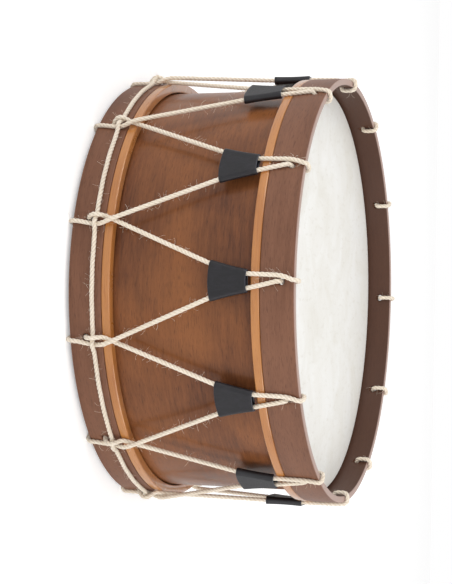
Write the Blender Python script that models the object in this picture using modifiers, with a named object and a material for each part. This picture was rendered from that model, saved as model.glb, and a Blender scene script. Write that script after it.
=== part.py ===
# Rope-tensioned Galician bass drum, standing upright on the rope turns of its lower counterhoop.
# All sizes are metres. +Z runs along the drum, and the origin is the middle of its floor contact.
# A bearing of 0 faces -Y, and bearings grow anticlockwise seen from above.

import math

import bmesh
import bpy
from mathutils import Matrix
from mathutils import Vector

# Shell, a bent plywood cylinder with a bearing edge at each end
SHELL_OUTER_RADIUS = 0.254
SHELL_WALL = 0.007
SHELL_DEPTH = 0.208
BEARING_ROUND = 0.0015
BEARING_ROUND_DROP = 0.0025
BEARING_FLAT = 0.002

# Heads, a membrane with a collar whose rim sits in the groove of the flesh hoop
HEAD_THICKNESS = 0.0008
HEAD_TURN_RUN = 0.0027
HEAD_TURN_DROP = 0.0024
RIM_DEPTH = 0.006

# Flesh hoops, the lacquered rings that carry the heads
FLESH_HOOP_HEIGHT = 0.0105
FLESH_HOOP_CLEARANCE = 0.0012
FLESH_LIP = 0.0012
FLESH_ROUND = 0.0018

# Counterhoops, the wide bent-wood hoops that press on the flesh hoops
HOOP_CLEARANCE = 0.005
HOOP_THICKNESS = 0.008
HOOP_WIDTH = 0.0405
HOOP_ROUND = 0.0015
HOOP_ABOVE_HEAD = 0.0305

# Rope holes in the counterhoops
HOLE_RADIUS = 0.0039
HOLE_CHAMFER = 0.0012
HOLE_SIDES = 8
UPPER_HOLE_INSET = 0.0155
LOWER_HOLE_INSET = 0.0195
LOWER_HOLE_OFFSET = 0.0028

# Rope
ROPE_DIAMETER = 0.0055
FLOOR_FLAT_SHARE = 0.1
HOOP_ROPE_INSET = 0.0305
CROSSING_INSET = 0.05275
SPLIT_INSET = 0.06075
LACING_COUNT = 12

# Leather tugs, tapered sleeves round the two strands of each loop
TUG_LENGTH = 0.042
TUG_LEATHER = 0.0018
TUG_TOP_SPREAD = 0.0165
TUG_BOTTOM_SPREAD = 0.037
TUG_GAP_TO_RING = 0.0034
TUG_MOUTH_BULGE = 0.0025
TUG_MOUTH_DIP = 0.001
TUG_END_POINTS = 7

# Clearances between pieces, and the facets of round pieces
GAP = 0.0003
ROPE_GAP = 0.0005
TUG_CLEARANCE = 0.0005
RING_STEPS = 48
ARC_POINTS = 3
SAMPLE_STEP = 0.0005
FLOOR_CUTTER_DEPTH = 0.02

# Route of a rising strand beside the upper hole, as (right, above the hole)
RISING_STRAND = (
    (-0.0070, -0.0065),
    (-0.0064, 0.0000),
    (-0.0046, 0.0065),
)
EDGE_DRIFT = 0.0016
FALLING_STRAND = (0.0024, -0.0140)

# Route of the strand that comes down to a lower edge, as (right, out from the hoop, above the hoop rope)
ARRIVING_STRAND = (
    (0.0030, 0.00525, 0.01475),
    (0.0045, 0.00315, 0.00925),
    (0.0050, 0.00085, 0.00375),
    (0.0049, 0.00000, -0.00250),
    (0.0035, 0.00000, -0.01100),
    (0.0014, 0.00000, -0.02150),
)
BIGHT_DRIFT = 0.0007

# Route of the strand that leaves a lower hole, over the hoop rope
LEAVING_STRAND = (
    (-0.0031, -0.00085, -0.00975),
    (-0.0037, 0.00285, -0.00755),
    (-0.0043, 0.00655, -0.00395),
    (-0.0046, 0.00790, 0.00025),
    (-0.0046, 0.00590, 0.00525),
    (-0.0042, 0.00160, 0.01075),
    (-0.0030, 0.00000, 0.01475),
)

# Route of the hoop rope past each lacing point, as (right, out from the hoop)
HOOP_ROPE_WEAVE = (
    (-0.0110, 0.00000),
    (-0.0075, 0.00055),
    (-0.0046, 0.00155),
    (-0.0024, 0.00235),
    (0.0000, 0.00385),
    (0.0022, 0.00545),
    (0.0050, 0.00600),
    (0.0080, 0.00530),
    (0.0110, 0.00250),
    (0.0140, 0.00060),
)

# Heights, worked out from the floor upwards
rope_radius = ROPE_DIAMETER / 2
floor_flat = ROPE_DIAMETER * FLOOR_FLAT_SHARE
lower_edge = ROPE_DIAMETER - floor_flat + GAP
lower_head_face = lower_edge + HOOP_ABOVE_HEAD
shell_bottom = lower_head_face + HEAD_THICKNESS + GAP
shell_top = shell_bottom + SHELL_DEPTH
upper_head_face = shell_top + GAP + HEAD_THICKNESS
upper_edge = upper_head_face + HOOP_ABOVE_HEAD
upper_hoop_bottom = upper_edge - HOOP_WIDTH
upper_flesh_top = upper_hoop_bottom - GAP
upper_flesh_bottom = upper_flesh_top - FLESH_HOOP_HEIGHT
mid_height = (lower_edge + upper_edge) / 2
upper_hole_height = upper_edge - UPPER_HOLE_INSET
lower_hole_height = lower_edge + LOWER_HOLE_INSET
hoop_rope_height = lower_edge + HOOP_ROPE_INSET
crossing_height = lower_edge + CROSSING_INSET
split_height = lower_edge + SPLIT_INSET

# Radii
hoop_inner = SHELL_OUTER_RADIUS + HOOP_CLEARANCE
hoop_outer = hoop_inner + HOOP_THICKNESS
flesh_inner = SHELL_OUTER_RADIUS + FLESH_HOOP_CLEARANCE
groove_inner = flesh_inner + FLESH_LIP
groove_outer = groove_inner + HEAD_THICKNESS + 2 * GAP
facet_share = math.cos(math.pi / RING_STEPS)
outer_seat = hoop_outer * facet_share + GAP + rope_radius
inner_seat = hoop_inner * facet_share - GAP - rope_radius
rope_pitch = ROPE_DIAMETER + ROPE_GAP
lacing_angle = 2 * math.pi / LACING_COUNT

# The lean of a lacing loop, which follows the chord from the upper hoop to the lower crossings
crossing_out = (outer_seat + rope_pitch / 2) * math.cos(lacing_angle / 2)
lean = math.atan2(outer_seat - crossing_out, upper_flesh_bottom - crossing_height)
tug_top_out = outer_seat - TUG_GAP_TO_RING * math.sin(lean)
tug_top_height = upper_flesh_bottom - TUG_GAP_TO_RING * math.cos(lean)


def clear_scene():
    for item in list(bpy.data.objects):
        bpy.data.objects.remove(item, do_unlink=True)


def new_collection(name):
    collection = bpy.data.collections.new(name)
    bpy.context.scene.collection.children.link(collection)
    return collection


def new_material(name, colour, roughness, metallic=0.0):
    material = bpy.data.materials.new(name)
    material.use_nodes = True
    shader = material.node_tree.nodes["Principled BSDF"]
    shader.inputs["Base Color"].default_value = (*colour, 1.0)
    shader.inputs["Roughness"].default_value = roughness
    shader.inputs["Metallic"].default_value = metallic
    return material


def new_object(name, data, collection, material=None):
    item = bpy.data.objects.new(name, data)
    collection.objects.link(item)
    if material is not None and not data.materials:
        data.materials.append(material)
    return item


def new_cutter(name, mesh, collection):
    cutter = new_object(name, mesh, collection)
    cutter.hide_render = True
    cutter.display_type = "WIRE"
    return cutter


def cut_with(item, cutter, name):
    cut = item.modifiers.new(name, "BOOLEAN")
    cut.operation = "DIFFERENCE"
    cut.object = cutter


def turned(name, profile, closed, collection, material):
    # The profile is (radius, height) points at +X, running down its outer side.
    mesh = bpy.data.meshes.new(name)
    points = [(radius, 0.0, height) for radius, height in profile]
    edges = [(index, index + 1) for index in range(len(points) - 1)]
    if closed:
        edges.append((len(points) - 1, 0))
    mesh.from_pydata(points, edges, [])
    item = new_object(name, mesh, collection, material)
    screw = item.modifiers.new("Turn", "SCREW")
    screw.axis = "Z"
    screw.angle = 2 * math.pi
    screw.steps = RING_STEPS
    screw.render_steps = RING_STEPS
    screw.use_merge_vertices = True
    screw.merge_threshold = 0.00001
    screw.use_smooth_shade = True
    # Half a step of turn puts a flat facet, not an edge, behind every rope crossing.
    item.rotation_euler.z = math.pi / RING_STEPS
    return item


def mirrored(profile):
    # The same profile at the other end of the drum, still running down its outer side.
    return [(radius, 2 * mid_height - height) for radius, height in reversed(profile)]


# Shell and heads


def add_shell(collection, material):
    radius = SHELL_OUTER_RADIUS
    inner = radius - SHELL_WALL
    edge_outer = radius - BEARING_ROUND
    edge_inner = edge_outer - BEARING_FLAT
    bevel = edge_inner - inner
    upper_half = [
        (inner, shell_top - bevel),
        (edge_inner, shell_top),
        (edge_outer, shell_top),
        (radius, shell_top - BEARING_ROUND_DROP),
    ]
    profile = upper_half + mirrored(upper_half)
    turned("shell", profile, True, collection, material)


def head_profile():
    face = upper_head_face
    under = face - HEAD_THICKNESS
    turn_inner = SHELL_OUTER_RADIUS - BEARING_ROUND + GAP / 2
    turn_outer = turn_inner + HEAD_THICKNESS / 2
    rim_inner = groove_inner + GAP
    rim_outer = rim_inner + HEAD_THICKNESS
    rim_end = upper_flesh_top - RIM_DEPTH
    return [
        (0.0, face),
        (turn_outer, face),
        (turn_outer + HEAD_TURN_RUN, face - HEAD_TURN_DROP),
        (rim_outer, upper_flesh_top),
        (rim_outer, rim_end),
        (rim_inner, rim_end),
        (rim_inner, upper_flesh_top),
        (turn_inner + HEAD_TURN_RUN, under - HEAD_TURN_DROP),
        (turn_inner, under),
        (0.0, under),
    ]


def add_heads(collection, material):
    profile = head_profile()
    turned("upper_head", profile, False, collection, material)
    turned("lower_head", mirrored(profile), False, collection, material)


# Hoops


def add_flesh_hoops(collection, material):
    top = upper_flesh_top
    bottom = upper_flesh_bottom
    groove_floor = top - RIM_DEPTH - GAP
    profile = [
        (hoop_outer - FLESH_ROUND, top),
        (hoop_outer, top - FLESH_ROUND),
        (hoop_outer, bottom + FLESH_ROUND),
        (hoop_outer - FLESH_ROUND, bottom),
        (flesh_inner, bottom),
        (flesh_inner, top),
        (groove_inner, top),
        (groove_inner, groove_floor),
        (groove_outer, groove_floor),
        (groove_outer, top),
    ]
    turned("upper_flesh_hoop", profile, True, collection, material)
    turned("lower_flesh_hoop", mirrored(profile), True, collection, material)


def hole_spool():
    # A straight bore along Z that flares to a chamfer at both faces of the hoop and runs past them.
    half_wall = (hoop_outer - hoop_inner) * facet_share / 2
    wide = HOLE_RADIUS + HOLE_CHAMFER
    half = [(0.0, half_wall + HOLE_CHAMFER), (wide, half_wall + HOLE_CHAMFER)]
    half += [(wide, half_wall), (HOLE_RADIUS, half_wall - HOLE_CHAMFER)]
    profile = half + [(radius, -height) for radius, height in reversed(half)]
    shape = bmesh.new()
    points = [shape.verts.new((radius, 0.0, height)) for radius, height in profile]
    edges = [shape.edges.new(pair) for pair in zip(points, points[1:])]
    bmesh.ops.spin(
        shape,
        geom=points + edges,
        axis=(0, 0, 1),
        cent=(0, 0, 0),
        steps=HOLE_SIDES,
        angle=2 * math.pi,
        use_merge=True,
    )
    bmesh.ops.remove_doubles(shape, verts=shape.verts, dist=0.000001)
    bmesh.ops.recalc_face_normals(shape, faces=shape.faces)
    lay = Matrix.Rotation(math.pi / HOLE_SIDES, 4, "Z")
    tip = Matrix.Rotation(math.pi / 2, 4, "X")
    bmesh.ops.transform(shape, matrix=tip @ lay, verts=shape.verts)
    mesh = bpy.data.meshes.new("hole_spool")
    shape.to_mesh(mesh)
    shape.free()
    return mesh


def hole_cutter(name, height, first_bearing, collection):
    spool = hole_spool()
    middle = (hoop_outer + hoop_inner) * facet_share / 2
    shape = bmesh.new()
    for index in range(LACING_COUNT):
        before = len(shape.verts)
        shape.from_mesh(spool)
        shape.verts.ensure_lookup_table()
        swing = Matrix.Rotation(first_bearing + index * lacing_angle, 4, "Z")
        place = swing @ Matrix.Translation((0, -middle, height))
        bmesh.ops.transform(shape, matrix=place, verts=shape.verts[before:])
    mesh = bpy.data.meshes.new(name)
    shape.to_mesh(mesh)
    shape.free()
    return new_cutter(name, mesh, collection)


def add_counterhoops(collection, cutters, material):
    top = upper_edge
    bottom = upper_hoop_bottom
    profile = [
        (hoop_outer - HOOP_ROUND, top),
        (hoop_outer, top - HOOP_ROUND),
        (hoop_outer, bottom + HOOP_ROUND),
        (hoop_outer - HOOP_ROUND, bottom),
        (hoop_inner + HOOP_ROUND, bottom),
        (hoop_inner, bottom + HOOP_ROUND),
        (hoop_inner, top - HOOP_ROUND),
        (hoop_inner + HOOP_ROUND, top),
    ]
    upper = turned("upper_counterhoop", profile, True, collection, material)
    lower = turned("lower_counterhoop", mirrored(profile), True, collection, material)
    lower_bearing = lacing_angle / 2 - LOWER_HOLE_OFFSET / hoop_outer
    upper_holes = hole_cutter("upper_hole_cutter", upper_hole_height, 0.0, cutters)
    lower_holes = hole_cutter("lower_hole_cutter", lower_hole_height, lower_bearing, cutters)
    cut_with(upper, upper_holes, "Rope holes")
    cut_with(lower, lower_holes, "Rope holes")


# Rope routes


def at_bearing(bearing, point):
    # A point given as (to the right, outwards, up) at a bearing, seen from outside the drum.
    right, outwards, up = point
    swing = Matrix.Rotation(bearing, 3, "Z")
    return swing @ Vector((right, -outwards, up))


def round_corner(centre_out, centre_up, radius, start, end):
    # Points of an arc in the outwards and up plane, with angles in degrees from outwards.
    points = []
    for index in range(ARC_POINTS):
        angle = math.radians(start + (end - start) * index / (ARC_POINTS - 1))
        points.append((centre_out + radius * math.cos(angle), centre_up + radius * math.sin(angle)))
    return points


def edge_turn(edge, side):
    # The rope's turn over a hoop's free edge, from the outer face to the inner one.
    bend = HOOP_ROUND + GAP + rope_radius
    centre_up = edge - side * HOOP_ROUND
    outer_centre = hoop_outer * facet_share - HOOP_ROUND
    inner_centre = hoop_inner * facet_share + HOOP_ROUND
    first = round_corner(outer_centre, centre_up, bend, 0, side * 90)
    second = round_corner(inner_centre, centre_up, bend, side * 90, side * 180)
    return first + second


def hole_turn(height, side):
    # The rope's way through a hole, from beside the inner face to beside the outer one.
    bore = HOLE_RADIUS * math.cos(math.pi / HOLE_SIDES)
    bend = HOLE_CHAMFER + GAP + rope_radius
    rise = side * (bore + HOLE_CHAMFER)
    inner_centre = hoop_inner * facet_share + HOLE_CHAMFER
    outer_centre = hoop_outer * facet_share - HOLE_CHAMFER
    first = round_corner(inner_centre, height + rise, bend, 180, 180 + side * 90)
    second = round_corner(outer_centre, height - rise, bend, side * 90, 0)
    return first, second


def between(line, height):
    # The point at a height on the straight line through two points.
    first, second = line
    return first.lerp(second, (height - first.z) / (second.z - first.z))


def tug_point(right, outwards, up):
    # A point of a tug's own frame, whose origin is the middle of its upper mouth, at bearing 0.
    out = tug_top_out + outwards * math.cos(lean) + up * math.sin(lean)
    height = tug_top_height - outwards * math.sin(lean) + up * math.cos(lean)
    return Vector((right, -out, height))


def strand_lines():
    # The straight runs from the lower crossings to the two ends of a tug's lower mouth, at bearing 0.
    half = lacing_angle / 2
    under = at_bearing(-half, (0.0, outer_seat, crossing_height))
    over = at_bearing(half, (0.0, outer_seat + rope_pitch, crossing_height))
    left_mouth = tug_point(-TUG_BOTTOM_SPREAD / 2, 0.0, -TUG_LENGTH)
    right_mouth = tug_point(TUG_BOTTOM_SPREAD / 2, 0.0, -TUG_LENGTH)
    return (under, left_mouth), (over, right_mouth)


def span_route():
    # From the left lower crossing up through the tug, over the upper hoop's free edge,
    # out through its hole, and down through the tug to the right lower crossing.
    left_line, right_line = strand_lines()
    points = [between(left_line, split_height + GAP / 2), left_line[1]]
    points.append(tug_point(-TUG_TOP_SPREAD / 2, 0.0, 0.0))
    for right, above in RISING_STRAND:
        points.append(at_bearing(0.0, (right, outer_seat, upper_hole_height + above)))
    turn = edge_turn(upper_edge, 1)
    for index, (out, up) in enumerate(turn):
        right = -EDGE_DRIFT * (1 - index / (len(turn) - 1))
        points.append(at_bearing(0.0, (right, out, up)))
    inwards, outwards = hole_turn(upper_hole_height, 1)
    for out, up in inwards + outwards:
        points.append(at_bearing(0.0, (0.0, out, up)))
    right, above = FALLING_STRAND
    points.append(at_bearing(0.0, (right, outer_seat, upper_hole_height + above)))
    points.append(tug_point(TUG_TOP_SPREAD / 2, 0.0, 0.0))
    points.append(right_line[1])
    points.append(between(right_line, split_height + GAP / 2))
    return points


def bight_route():
    # From the left strand over the crossing, under the hoop rope, round the lower hoop's free edge,
    # out through its hole, over the hoop rope and under the crossing to the right strand.
    left_line, right_line = strand_lines()
    half = Matrix.Rotation(lacing_angle / 2, 3, "Z")
    arriving = [half.inverted() @ point for point in right_line]
    leaving = [half @ point for point in left_line]
    points = [between(arriving, split_height - GAP / 2), arriving[0]]
    for right, out, up in ARRIVING_STRAND:
        points.append(at_bearing(0.0, (right, outer_seat + out, hoop_rope_height + up)))
    turn = edge_turn(lower_edge, -1)
    for index, (out, up) in enumerate(turn):
        right = BIGHT_DRIFT * (1 - 2 * index / (len(turn) - 1))
        points.append(at_bearing(0.0, (right, out, up)))
    inwards, outwards = hole_turn(lower_hole_height, -1)
    halfway = (turn[-1][1] + inwards[0][1]) / 2
    points.append(at_bearing(0.0, (-(BIGHT_DRIFT + LOWER_HOLE_OFFSET) / 2, inner_seat, halfway)))
    for out, up in inwards + outwards[:1]:
        points.append(at_bearing(0.0, (-LOWER_HOLE_OFFSET, out, up)))
    for right, out, up in LEAVING_STRAND:
        points.append(at_bearing(0.0, (right, outer_seat + out, hoop_rope_height + up)))
    points.append(leaving[0])
    points.append(between(leaving, split_height - GAP / 2))
    return points


def hoop_rope_route():
    # Once round the lower hoop, over each arriving strand and under each leaving one.
    points = []
    facet = 2 * math.pi / RING_STEPS
    facets_between = round(lacing_angle / facet)
    for index in range(LACING_COUNT):
        bearing = (index + 0.5) * lacing_angle
        for right, out in HOOP_ROPE_WEAVE:
            points.append(at_bearing(bearing, (right, outer_seat + out, hoop_rope_height)))
        for corner in range(facets_between):
            swing = bearing + (corner + 0.5) * facet
            points.append(at_bearing(swing, (0.0, outer_seat / facet_share, hoop_rope_height)))
    return points


def least_gap(points):
    # The least gap of a rope to itself, between points some diameters apart along it.
    spots = []
    for start, end in zip(points, points[1:]):
        count = math.ceil((end - start).length / SAMPLE_STEP)
        spots += [start.lerp(end, index / count) for index in range(count)]
    apart = round(4 * ROPE_DIAMETER / SAMPLE_STEP)
    least = math.inf
    for index, spot in enumerate(spots):
        for other in spots[index + apart:]:
            least = min(least, (spot - other).length)
    return least - ROPE_DIAMETER


# Rope pieces


def rope_curve(name, points, cyclic, material):
    curve = bpy.data.curves.new(name, "CURVE")
    curve.dimensions = "3D"
    curve.bevel_depth = rope_radius
    curve.bevel_resolution = 1
    curve.use_fill_caps = not cyclic
    curve.resolution_u = 1
    curve.render_resolution_u = 0
    spline = curve.splines.new("POLY")
    spline.points.add(len(points) - 1)
    for slot, point in zip(spline.points, points):
        slot.co = (*point, 1.0)
    spline.use_cyclic_u = cyclic
    spline.use_smooth = True
    curve.materials.append(material)
    return curve


def add_spans(collection, material):
    route = span_route()
    print(f"Least gap of a lacing span to itself: {least_gap(route) * 1000:.2f} mm")
    curve = rope_curve("lacing_span", route, False, material)
    for index in range(LACING_COUNT):
        item = new_object(f"lacing_span_{index + 1:02d}", curve, collection)
        item.rotation_euler.z = index * lacing_angle


def floor_cutter(collection):
    shape = bmesh.new()
    slab = bmesh.ops.create_cube(shape, size=1.0)
    width = 4 * hoop_outer
    bmesh.ops.scale(shape, verts=slab["verts"], vec=(width, width, FLOOR_CUTTER_DEPTH))
    bmesh.ops.translate(shape, verts=slab["verts"], vec=(0, 0, -FLOOR_CUTTER_DEPTH / 2))
    mesh = bpy.data.meshes.new("floor_cutter")
    shape.to_mesh(mesh)
    shape.free()
    return new_cutter("floor_cutter", mesh, collection)


def bight_mesh(collection, material):
    # The tube as a mesh with welded ends, so that its underside can be cut flat.
    route = bight_route()
    print(f"Least gap of a lower bight to itself: {least_gap(route) * 1000:.2f} mm")
    guide = new_object("bight_guide", rope_curve("bight_guide", route, False, material), collection)
    bpy.context.view_layer.update()
    graph = bpy.context.evaluated_depsgraph_get()
    mesh = bpy.data.meshes.new_from_object(guide.evaluated_get(graph))
    mesh.name = "lacing_bight"
    bpy.data.objects.remove(guide, do_unlink=True)
    shape = bmesh.new()
    shape.from_mesh(mesh)
    bmesh.ops.remove_doubles(shape, verts=shape.verts, dist=0.000001)
    shape.to_mesh(mesh)
    shape.free()
    return mesh


def add_bights(collection, cutters, material):
    mesh = bight_mesh(cutters, material)
    floor = floor_cutter(cutters)
    for index in range(LACING_COUNT):
        item = new_object(f"lacing_bight_{index + 1:02d}", mesh, collection, material)
        item.rotation_euler.z = (index + 0.5) * lacing_angle
        cut_with(item, floor, "Flat where the drum stands")


def add_hoop_rope(collection, material):
    curve = rope_curve("hoop_rope", hoop_rope_route(), True, material)
    new_object("hoop_rope", curve, collection)


# Leather tugs


def tug_section(half_spread, radius, up, bulge):
    # A stadium round the two strands, whose middle hangs lower than its ends.
    half = []
    for index in range(TUG_END_POINTS):
        angle = math.pi / 2 - math.pi * index / (TUG_END_POINTS - 1)
        half.append((half_spread + radius * math.cos(angle), radius * math.sin(angle)))
    half.append((0.0, -radius))
    section = []
    for right, outwards in half + [(-right, -outwards) for right, outwards in half]:
        drop = bulge * (1 - (right / (half_spread + radius)) ** 2)
        section.append((right, -outwards, up - drop))
    return section


def tug_mesh():
    inner_radius = rope_radius + TUG_CLEARANCE
    outer_radius = inner_radius + TUG_LEATHER
    shape = bmesh.new()
    rings = []
    for radius, rising in ((outer_radius, True), (inner_radius, False)):
        lower = tug_section(TUG_BOTTOM_SPREAD / 2, radius, -TUG_LENGTH, TUG_MOUTH_BULGE)
        upper = tug_section(TUG_TOP_SPREAD / 2, radius, 0.0, TUG_MOUTH_DIP)
        for section in (lower, upper) if rising else (upper, lower):
            rings.append([shape.verts.new(point) for point in section])
    for first, second in zip(rings, rings[1:] + rings[:1]):
        for index in range(len(first)):
            after = (index + 1) % len(first)
            shape.faces.new((first[index], first[after], second[after], second[index]))
    bmesh.ops.recalc_face_normals(shape, faces=shape.faces)
    mesh = bpy.data.meshes.new("tug")
    shape.to_mesh(mesh)
    shape.free()
    mesh.shade_smooth()
    mesh.set_sharp_from_angle(angle=math.radians(40))
    return mesh


def add_tugs(collection, guides, material):
    mesh = tug_mesh()
    for index in range(LACING_COUNT):
        bearing = index * lacing_angle
        slide = new_object(f"tug_slide_{index + 1:02d}", None, guides)
        slide.location = Matrix.Rotation(bearing, 3, "Z") @ tug_point(0.0, 0.0, 0.0)
        slide.rotation_euler = (lean, 0.0, bearing)
        tug = new_object(f"tug_{index + 1:02d}", mesh, collection, material)
        tug.parent = slide


clear_scene()
drum = new_collection("galician_bass_drum")
cutters = new_collection("cutters")
plywood = new_material("stained_plywood", (0.141, 0.065, 0.042), 0.3)
hoop_wood = new_material("brown_hoop_wood", (0.205, 0.102, 0.065), 0.45)
ring_wood = new_material("lacquered_ring_wood", (0.491, 0.223, 0.080), 0.25)
skin = new_material("drum_skin", (0.84, 0.82, 0.78), 0.5)
hemp = new_material("hemp_rope", (0.87, 0.75, 0.63), 0.9)
leather = new_material("black_leather", (0.021, 0.019, 0.025), 0.4)
add_shell(drum, plywood)
add_heads(drum, skin)
add_flesh_hoops(drum, ring_wood)
add_counterhoops(drum, cutters, hoop_wood)
add_tugs(drum, cutters, leather)
add_spans(drum, hemp)
add_bights(drum, cutters, hemp)
add_hoop_rope(drum, hemp)
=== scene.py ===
import math

import bmesh
import bpy
import numpy as np
from mathutils import Matrix, Vector


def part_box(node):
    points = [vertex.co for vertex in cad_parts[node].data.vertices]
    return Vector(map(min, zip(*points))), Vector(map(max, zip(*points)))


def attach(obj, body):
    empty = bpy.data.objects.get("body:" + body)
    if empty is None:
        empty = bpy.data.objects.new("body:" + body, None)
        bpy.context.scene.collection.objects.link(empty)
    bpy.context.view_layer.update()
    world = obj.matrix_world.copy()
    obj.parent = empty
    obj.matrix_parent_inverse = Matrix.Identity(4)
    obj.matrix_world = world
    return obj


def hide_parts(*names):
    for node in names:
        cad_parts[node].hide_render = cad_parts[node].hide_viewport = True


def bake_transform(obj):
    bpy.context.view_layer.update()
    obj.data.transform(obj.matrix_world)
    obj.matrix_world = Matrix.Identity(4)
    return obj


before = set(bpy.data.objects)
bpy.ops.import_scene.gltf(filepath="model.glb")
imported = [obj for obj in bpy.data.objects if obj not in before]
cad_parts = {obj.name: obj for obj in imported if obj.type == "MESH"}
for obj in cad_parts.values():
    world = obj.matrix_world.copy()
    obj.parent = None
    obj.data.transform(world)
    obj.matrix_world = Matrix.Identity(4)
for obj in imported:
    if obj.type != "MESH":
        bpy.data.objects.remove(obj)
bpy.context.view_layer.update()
print("frame loaded:", len(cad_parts), "nodes")

# sizes that the pieces share, read from the frame where it has them
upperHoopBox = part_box("upper_counterhoop")
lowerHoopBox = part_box("lower_counterhoop")
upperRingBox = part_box("upper_flesh_hoop")
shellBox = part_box("shell")
drum = {
    "upperEdge": upperHoopBox[1][2],
    "lowerEdge": lowerHoopBox[0][2],
    "hoopWidth": upperHoopBox[1][2] - upperHoopBox[0][2],
    "hoopOuter": 0.267,
    "hoopInner": 0.259,
    "shellOuter": 0.254,
    "shellWall": 0.007,
    "shellLow": shellBox[0][2],
    "shellHigh": shellBox[1][2],
    "headFace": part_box("upper_head")[1][2],
    "gap": 0.0003,
    "cadFacets": 48,
    "loops": 12,
}
loopAngle = 2 * math.pi / drum["loops"]
facetShare = math.cos(math.pi / drum["cadFacets"])


# Camera. The picture shows the drum lying on its side, so the camera is rolled by a quarter turn.
view = {
    "bearing": math.radians(2.1),
    "distance": 1.98044,
    "elevation": 0.19399,
    "aimHeight": 0.34474,
    "pan": 0.00161,
    "tilt": -0.11196,
    "roll": -0.01067,
    "focalPixels": 1567.35,
    "imageHeight": 584,
    "sensor": 24.0,
}


def turnPair(first, second, angle):
    # both directions turned in their common plane
    c, s = math.cos(angle), math.sin(angle)
    return c * first - s * second, s * first + c * second


def addCamera():
    c, s = math.cos(view["elevation"]), math.sin(view["elevation"])
    place = Vector((0, -view["distance"] * c, view["aimHeight"] + view["distance"] * s))
    right = Vector((1, 0, 0))
    forward = Vector((0, c, -s))
    up = Vector((0, s, c))
    right, forward = turnPair(right, forward, view["pan"])
    up, forward = turnPair(up, forward, view["tilt"])
    right, up = turnPair(right, up, view["roll"])
    turn = Matrix((up, -right, -forward)).transposed().to_4x4()  # picture right is the drum's up
    data = bpy.data.cameras.new("camera")
    data.sensor_fit = "VERTICAL"
    data.sensor_height = view["sensor"]
    data.lens = view["focalPixels"] / view["imageHeight"] * view["sensor"]
    camera = bpy.data.objects.new("camera", data)
    bpy.context.scene.collection.objects.link(camera)
    camera.matrix_world = Matrix.Rotation(view["bearing"], 4, "Z") @ Matrix.Translation(place) @ turn
    bpy.context.scene.camera = camera


addCamera()
print("camera placed")


# Shader maths
class Wire:
    # an output socket that takes part in arithmetic
    def __init__(self, maker, socket):
        self.maker = maker
        self.socket = socket

    def __add__(self, other):
        return self.maker.value("ADD", self, other)

    def __radd__(self, other):
        return self.maker.value("ADD", other, self)

    def __sub__(self, other):
        return self.maker.value("SUBTRACT", self, other)

    def __rsub__(self, other):
        return self.maker.value("SUBTRACT", other, self)

    def __mul__(self, other):
        return self.maker.value("MULTIPLY", self, other)

    def __rmul__(self, other):
        return self.maker.value("MULTIPLY", other, self)

    def __pow__(self, other):
        return self.maker.value("POWER", self, other)


class Finish:
    # one material and the nodes in it
    def __init__(self, name):
        self.material = bpy.data.materials.new(name)
        self.material.use_nodes = True
        self.tree = self.material.node_tree
        self.tree.nodes.clear()

    def node(self, kind, settings=None, inputs=None):
        made = self.tree.nodes.new(kind)
        for key, setting in (settings or {}).items():
            setattr(made, key, setting)
        for key, given in (inputs or {}).items():
            if isinstance(given, Wire):
                self.tree.links.new(given.socket, made.inputs[key])
            else:
                made.inputs[key].default_value = given
        return made

    def value(self, operation, first, second):
        made = self.node("ShaderNodeMath", {"operation": operation}, {0: first, 1: second})
        return Wire(self, made.outputs[0])

    def mix(self, factor, first, second):
        made = self.node("ShaderNodeMix", {"data_type": "RGBA"}, {0: factor, 6: first, 7: second})
        return Wire(self, made.outputs[2])

    def coordinates(self, scale, source="Object"):
        where = self.node("ShaderNodeTexCoord")
        placed = self.node("ShaderNodeMapping", {}, {0: Wire(self, where.outputs[source]), 3: scale})
        return Wire(self, placed.outputs[0])

    def noise(self, scale, detail=4.0, rough=0.55, distortion=0.0, source="Object"):
        inputs = {"Vector": self.coordinates(scale, source), "Scale": 1.0, "Detail": detail,
                  "Roughness": rough, "Distortion": distortion}
        return Wire(self, self.node("ShaderNodeTexNoise", {}, inputs).outputs[0])

    def radius(self):
        # distance from the drum's axis
        where = self.coordinates((1.0, 1.0, 0.0))
        return Wire(self, self.node("ShaderNodeVectorMath", {"operation": "LENGTH"}, {0: where}).outputs["Value"])

    def heightFrom(self, middle):
        # distance above or below a level
        where = self.coordinates((1.0, 1.0, 1.0))
        height = Wire(self, self.node("ShaderNodeSeparateXYZ", {}, {0: where}).outputs[2]) - middle
        return Wire(self, self.node("ShaderNodeMath", {"operation": "ABSOLUTE"}, {0: height}).outputs[0])

    def spread(self, wire, low, high):
        # a value stretched so that low becomes 0 and high becomes 1
        made = self.node("ShaderNodeMapRange", {"clamp": True}, {0: wire, 1: low, 2: high})
        return Wire(self, made.outputs[0])

    def attribute(self, name):
        return Wire(self, self.node("ShaderNodeAttribute", {"attribute_name": name}).outputs["Fac"])

    def bump(self, height, strength, distance):
        made = self.node("ShaderNodeBump", {}, {"Height": height, "Strength": strength, "Distance": distance})
        return Wire(self, made.outputs[0])

    def surface(self, inputs):
        shader = self.node("ShaderNodeBsdfPrincipled", {}, inputs)
        ending = self.node("ShaderNodeOutputMaterial")
        self.tree.links.new(shader.outputs[0], ending.inputs[0])
        return self.material


def colour(red, green, blue):
    # a screen colour from 0 to 255 as the linear colour that shaders read
    steps = []
    for part in (red, green, blue):
        share = part / 255
        steps.append(share / 12.92 if share < 0.04045 else ((share + 0.055) / 1.055) ** 2.4)
    return (*steps, 1.0)


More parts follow.
